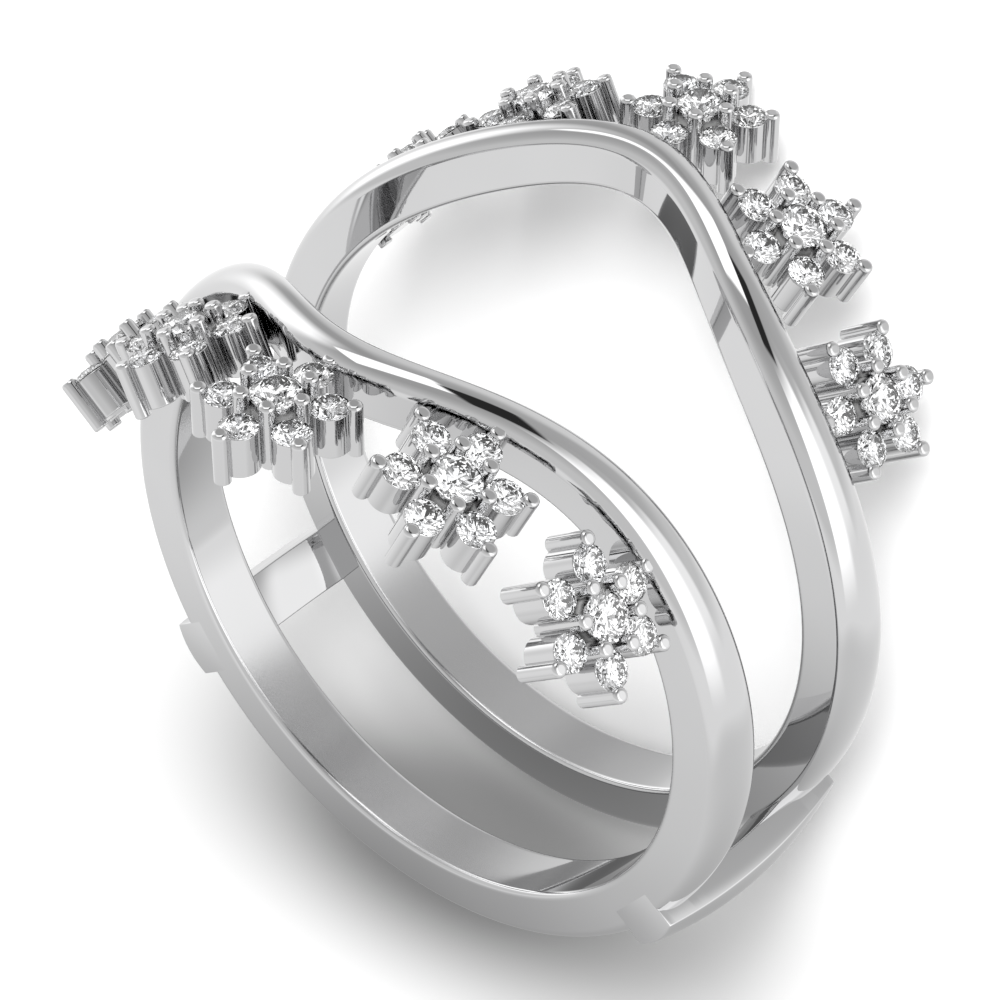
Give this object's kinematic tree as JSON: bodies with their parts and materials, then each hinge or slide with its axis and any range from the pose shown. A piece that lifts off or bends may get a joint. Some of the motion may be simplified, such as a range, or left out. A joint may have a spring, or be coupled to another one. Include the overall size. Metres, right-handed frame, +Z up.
{
  "type": "finger ring",
  "caption": "Two-band finger ring guard: domed bands that swell apart at the top, two joining bars, and flower clusters of round stones in closed cups with round posts.",
  "frame": {"origin": "on the surface that the ring lies on, under the centre of its bounding box", "axes": "+Z up from that surface; +X towards the ring's decorated top, which the lower top cluster props up, so the finger hole's axis leans 19.8 degrees from +Z towards -X; the XZ plane is the ring's plane of symmetry"},
  "size_m": [0.0236, 0.0206, 0.0196],
  "materials": {
    "white_metal": "mirror polished white precious metal, rhodium plated",
    "clear_stone": "colourless round brilliant, polished facets"
  },
  "bodies": {
    "root": {"metalwork": "white_metal", "centre_stone_1": "clear_stone", "centre_stone_2": "clear_stone", "centre_stone_3": "clear_stone", "centre_stone_4": "clear_stone", "centre_stone_5": "clear_stone", "centre_stone_6": "clear_stone", "centre_stone_7": "clear_stone", "centre_stone_8": "clear_stone", "centre_stone_9": "clear_stone", "centre_stone_10": "clear_stone", "petal_stones_1": "clear_stone", "petal_stones_2": "clear_stone", "petal_stones_3": "clear_stone", "petal_stones_4": "clear_stone", "petal_stones_5": "clear_stone", "petal_stones_6": "clear_stone", "petal_stones_7": "clear_stone", "petal_stones_8": "clear_stone", "petal_stones_9": "clear_stone", "petal_stones_10": "clear_stone"}
  },
  "joints": []
}
